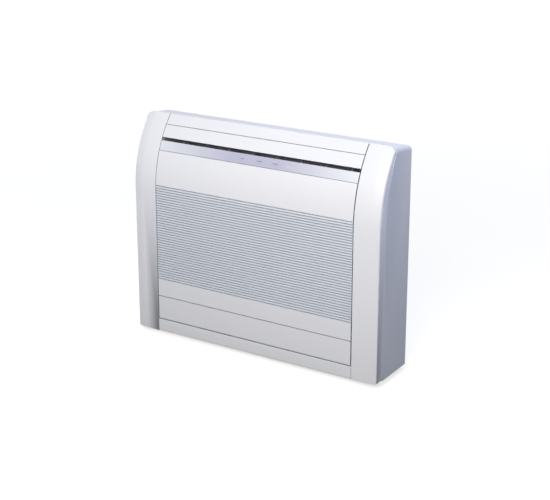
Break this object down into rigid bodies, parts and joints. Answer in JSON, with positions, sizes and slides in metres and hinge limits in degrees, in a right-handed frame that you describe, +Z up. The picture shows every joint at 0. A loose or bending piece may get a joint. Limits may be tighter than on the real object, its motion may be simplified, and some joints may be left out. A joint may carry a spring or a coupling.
{
  "type": "floor standing air conditioner",
  "caption": "Indoor air conditioner that stands low on the floor, with a slotted intake panel, display bar, flap-covered outlets at top and bottom, and coil, fans and filters inside.",
  "frame": {"origin": "middle of the bounding box on the floor", "axes": "+X to the right seen from the front, +Y to the rear (the wall), +Z up"},
  "size_m": [0.74, 0.2, 0.6],
  "materials": {
    "front_plastic": "smooth moulded, satin",
    "case_plastic": "smooth moulded, satin",
    "silver_plastic": "silver paint on plastic",
    "lamp_lens": "clear, tinted",
    "smoked_window": "smoked, clear",
    "chassis_plastic": "moulded, pale grey",
    "zinc_steel": "zinc coated sheet",
    "motor_steel": "satin",
    "duct_plastic": "moulded",
    "vane_plastic": "moulded",
    "fan_plastic": "moulded",
    "pan_plastic": "moulded",
    "button_plastic": "moulded",
    "filter_plastic": "moulded",
    "fin_aluminium": "thin fins",
    "copper": "drawn tube",
    "brass": "machined",
    "board_laminate": "lacquered",
    "bush_rubber": "moulded",
    "screw_steel": "zinc plated"
  },
  "bodies": {
    "cabinet": {"left_column": "front_plastic", "right_column": "front_plastic", "bottom_rail": "front_plastic", "top_panel": "front_plastic", "left_side_case": "case_plastic", "right_side_case": "case_plastic", "top_cover": "case_plastic", "display_bar": "silver_plastic", "lamp_lenses": "lamp_lens", "receiver_window": "smoked_window", "back_panel": "chassis_plastic", "left_end_plate": "chassis_plastic", "right_end_plate": "chassis_plastic", "base_pan": "zinc_steel", "coil_end_plates": "zinc_steel", "control_box": "zinc_steel", "control_box_cover": "zinc_steel", "motor_straps": "zinc_steel", "upper_fan_motor": "motor_steel", "lower_fan_motor": "motor_steel", "upper_flap_motor": "motor_steel", "lower_flap_motor": "motor_steel", "upper_scroll": "duct_plastic", "upper_stabiliser": "duct_plastic", "lower_scroll": "duct_plastic", "lower_stabiliser": "duct_plastic", "drain_pan": "pan_plastic", "panel_catches": "pan_plastic", "switch_panel": "pan_plastic", "terminal_block": "pan_plastic", "cable_clamp": "pan_plastic", "room_sensor": "pan_plastic", "cleaning_filters": "filter_plastic", "fin_pack": "fin_aluminium", "coil_bends": "copper", "gas_pipe": "copper", "liquid_pipe": "copper", "flare_nuts": "brass", "display_board": "board_laminate", "control_board": "board_laminate", "fan_bushes": "bush_rubber", "case_screws": "screw_steel"},
    "intake_panel": {"intake_panel": "front_plastic"},
    "left_filter": {"left_filter": "filter_plastic"},
    "lower_fan": {"lower_fan": "fan_plastic"},
    "lower_flap": {"lower_flap": "front_plastic"},
    "manual_button": {"manual_button": "button_plastic"},
    "outlet_switch": {"outlet_switch": "button_plastic"},
    "right_filter": {"right_filter": "filter_plastic"},
    "upper_fan": {"upper_fan": "fan_plastic"},
    "upper_flap": {"upper_flap": "front_plastic"},
    "vane_1": {"vane_1": "vane_plastic"},
    "vane_2": {"vane_2": "vane_plastic"},
    "vane_3": {"vane_3": "vane_plastic"},
    "vane_4": {"vane_4": "vane_plastic"},
    "vane_5": {"vane_5": "vane_plastic"},
    "vane_6": {"vane_6": "vane_plastic"},
    "vane_7": {"vane_7": "vane_plastic"},
    "vane_8": {"vane_8": "vane_plastic"},
    "vane_tie_bar": {"vane_tie_bar": "vane_plastic"}
  },
  "joints": [
    {"name": "intake_panel_hinge", "type": "hinge", "parent": "cabinet", "child": "intake_panel", "pos_m": [0, -0.094, 0.1295], "axis": [1, 0, 0], "range_deg": [0, 70]},
    {"name": "upper_flap_hinge", "type": "hinge", "parent": "cabinet", "child": "upper_flap", "pos_m": [0, -0.04463, 0.55216], "axis": [-1, 0, 0], "range_deg": [0, 70]},
    {"name": "lower_flap_hinge", "type": "hinge", "parent": "cabinet", "child": "lower_flap", "pos_m": [0, -0.09, 0.1059], "axis": [-1, 0, 0], "range_deg": [0, 70]},
    {"name": "left_filter_lift", "type": "slide", "parent": "cabinet", "child": "left_filter", "axis": [0, 0, 1], "range_m": [0, 0.008]},
    {"name": "right_filter_lift", "type": "slide", "parent": "cabinet", "child": "right_filter", "axis": [0, 0, 1], "range_m": [0, 0.008]},
    {"name": "upper_fan_spin", "type": "hinge", "parent": "cabinet", "child": "upper_fan", "pos_m": [0, 0.03, 0.465], "axis": [1, 0, 0], "continuous": true},
    {"name": "lower_fan_spin", "type": "hinge", "parent": "cabinet", "child": "lower_fan", "pos_m": [0, 0.03, 0.1175], "axis": [1, 0, 0], "continuous": true},
    {"name": "manual_button_press", "type": "slide", "parent": "cabinet", "child": "manual_button", "axis": [0, 1, 0], "range_m": [0, 0.0012], "stiffness_N_per_m": 500, "springref_m": -0.001},
    {"name": "outlet_switch_slide", "type": "slide", "parent": "cabinet", "child": "outlet_switch", "axis": [0, 0, 1], "range_m": [0, 0.008]},
    {"name": "vane_1_turn", "type": "hinge", "parent": "cabinet", "child": "vane_1", "pos_m": [-0.252, -0.03307, 0.50694], "axis": [0, 0.6406, 0.7679], "range_deg": [-35, 35]},
    {"name": "vane_2_turn", "type": "hinge", "parent": "cabinet", "child": "vane_2", "pos_m": [-0.18, -0.03307, 0.50694], "axis": [0, 0.6406, 0.7679], "range_deg": [-35, 35]},
    {"name": "vane_3_turn", "type": "hinge", "parent": "cabinet", "child": "vane_3", "pos_m": [-0.108, -0.03307, 0.50694], "axis": [0, 0.6406, 0.7679], "range_deg": [-35, 35]},
    {"name": "vane_4_turn", "type": "hinge", "parent": "cabinet", "child": "vane_4", "pos_m": [-0.036, -0.03307, 0.50694], "axis": [0, 0.6406, 0.7679], "range_deg": [-35, 35]},
    {"name": "vane_5_turn", "type": "hinge", "parent": "cabinet", "child": "vane_5", "pos_m": [0.036, -0.03307, 0.50694], "axis": [0, 0.6406, 0.7679], "range_deg": [-35, 35]},
    {"name": "vane_6_turn", "type": "hinge", "parent": "cabinet", "child": "vane_6", "pos_m": [0.108, -0.03307, 0.50694], "axis": [0, 0.6406, 0.7679], "range_deg": [-35, 35]},
    {"name": "vane_7_turn", "type": "hinge", "parent": "cabinet", "child": "vane_7", "pos_m": [0.18, -0.03307, 0.50694], "axis": [0, 0.6406, 0.7679], "range_deg": [-35, 35]},
    {"name": "vane_8_turn", "type": "hinge", "parent": "cabinet", "child": "vane_8", "pos_m": [0.252, -0.03307, 0.50694], "axis": [0, 0.6406, 0.7679], "range_deg": [-35, 35]},
    {"name": "vane_tie_bar_turn", "type": "hinge", "parent": "vane_4", "child": "vane_tie_bar", "pos_m": [-0.036, -0.02386, 0.49925], "axis": [0, 0.6406, 0.7679], "range_deg": [-35, 35]}
  ],
  "couplings": [
    {"joint": "vane_1_turn", "follows": "vane_4_turn", "ratio": 1},
    {"joint": "vane_2_turn", "follows": "vane_4_turn", "ratio": 1},
    {"joint": "vane_3_turn", "follows": "vane_4_turn", "ratio": 1},
    {"joint": "vane_5_turn", "follows": "vane_4_turn", "ratio": 1},
    {"joint": "vane_6_turn", "follows": "vane_4_turn", "ratio": 1},
    {"joint": "vane_7_turn", "follows": "vane_4_turn", "ratio": 1},
    {"joint": "vane_8_turn", "follows": "vane_4_turn", "ratio": 1},
    {"joint": "vane_tie_bar_turn", "follows": "vane_4_turn", "ratio": -1}
  ]
}
